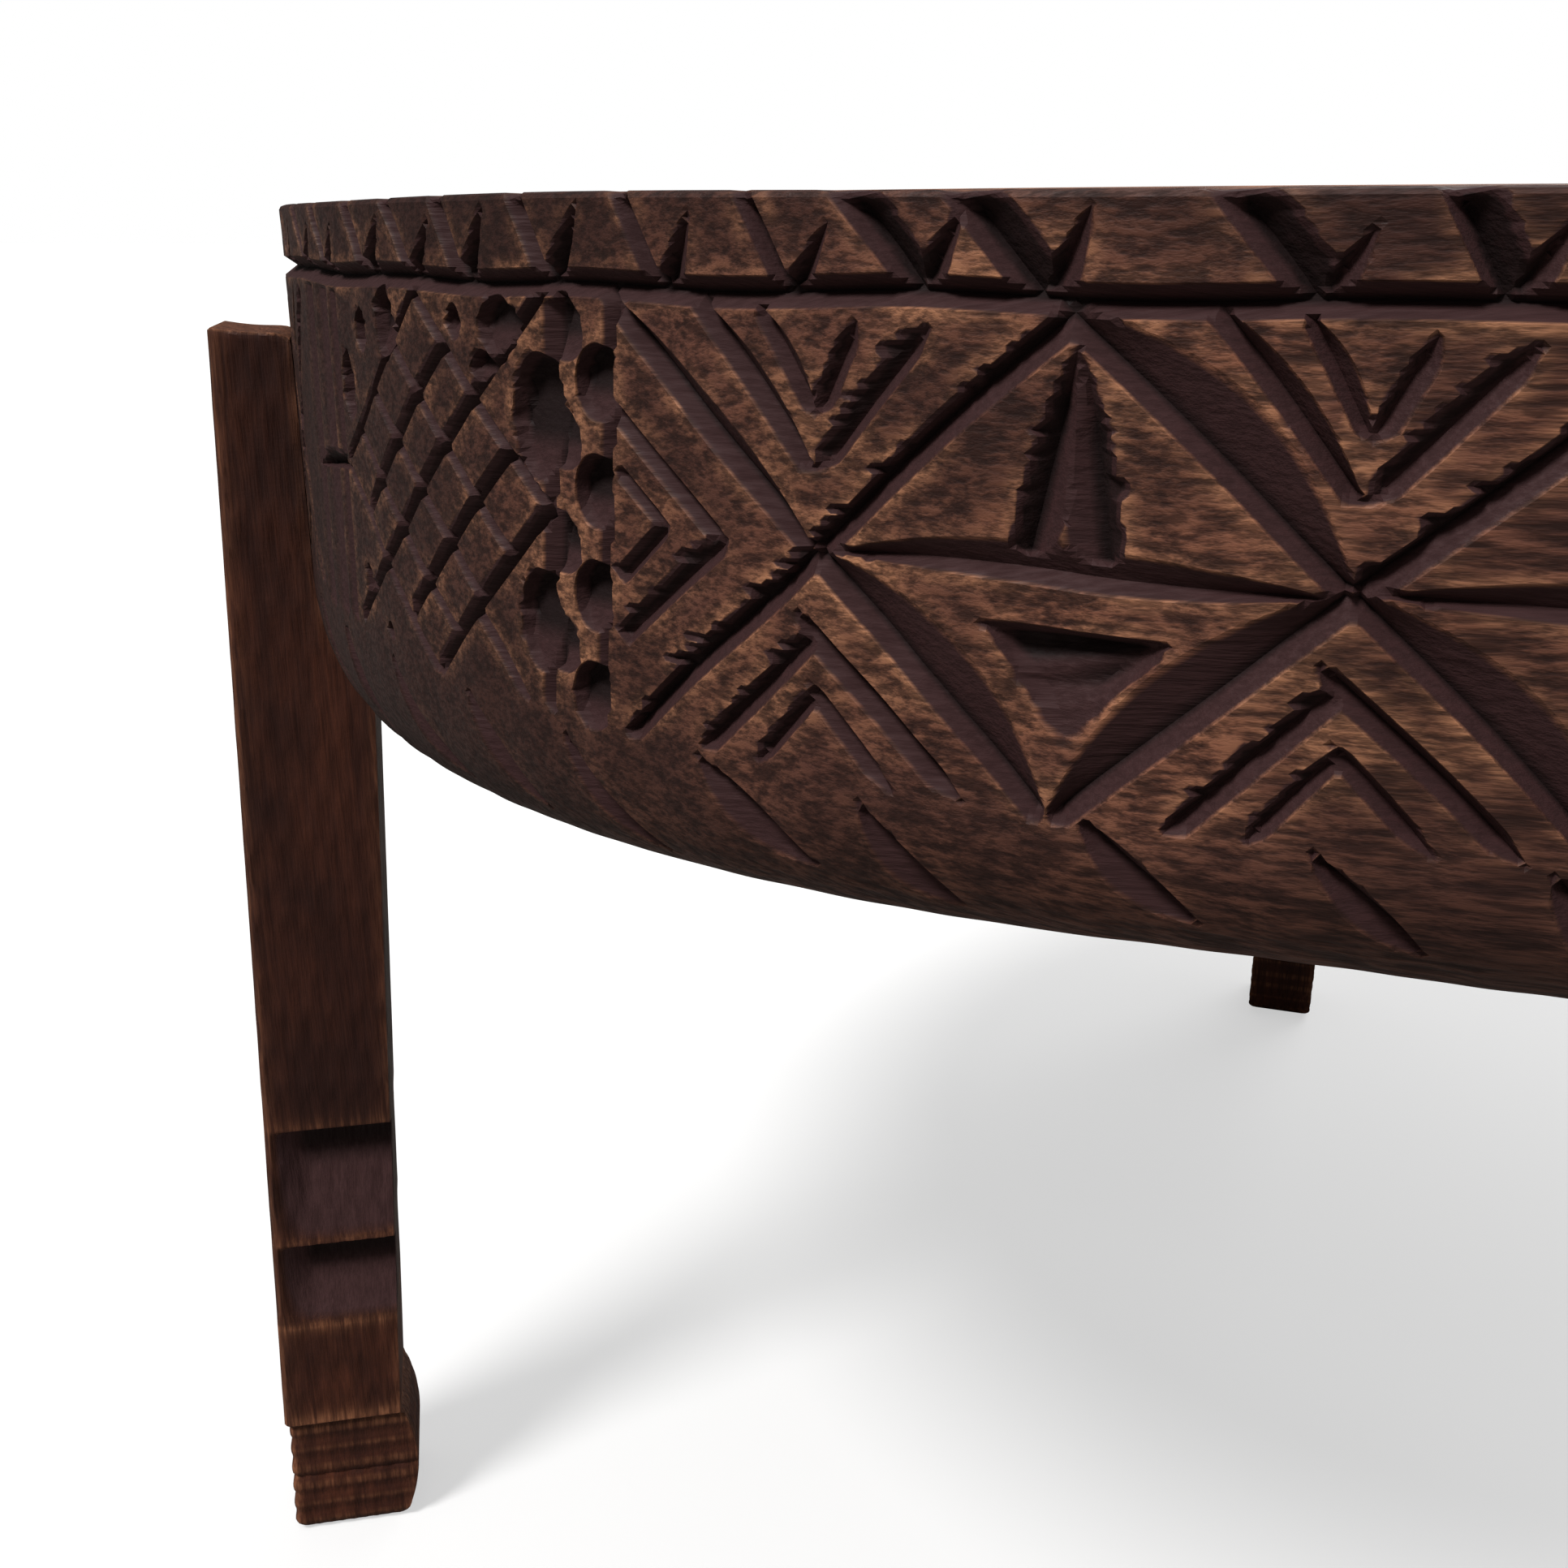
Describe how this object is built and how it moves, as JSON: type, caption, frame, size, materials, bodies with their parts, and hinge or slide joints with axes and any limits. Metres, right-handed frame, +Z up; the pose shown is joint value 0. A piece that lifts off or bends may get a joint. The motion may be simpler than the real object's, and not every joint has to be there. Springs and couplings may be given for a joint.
{
  "type": "carved wooden bowl",
  "caption": "Round shallow wooden bowl with a chip-carved outer wall, standing on notched wooden legs screwed on from inside it.",
  "frame": {"origin": "on the floor, at the middle of the whole object's box; the bowl's own axis is 17.25 mm in front of it, at y = -0.01725, because one leg points straight back", "axes": "+Z up; -Y is the front, midway between the two front legs; +X to the right"},
  "size_m": [0.6, 0.6346, 0.4015],
  "materials": {
    "carved_wood": "dark stained, worn lighter on the raised edges, satin to dull",
    "leg_wood": "dark red-brown stain, satin",
    "screw_steel": "dulled plain steel"
  },
  "bodies": {
    "root": {"bowl": "carved_wood", "leg_front_left": "leg_wood", "leg_front_right": "leg_wood", "leg_back": "leg_wood", "screw_front_left_upper": "screw_steel", "screw_front_left_lower": "screw_steel", "screw_front_right_upper": "screw_steel", "screw_front_right_lower": "screw_steel", "screw_back_upper": "screw_steel", "screw_back_lower": "screw_steel"}
  },
  "joints": []
}
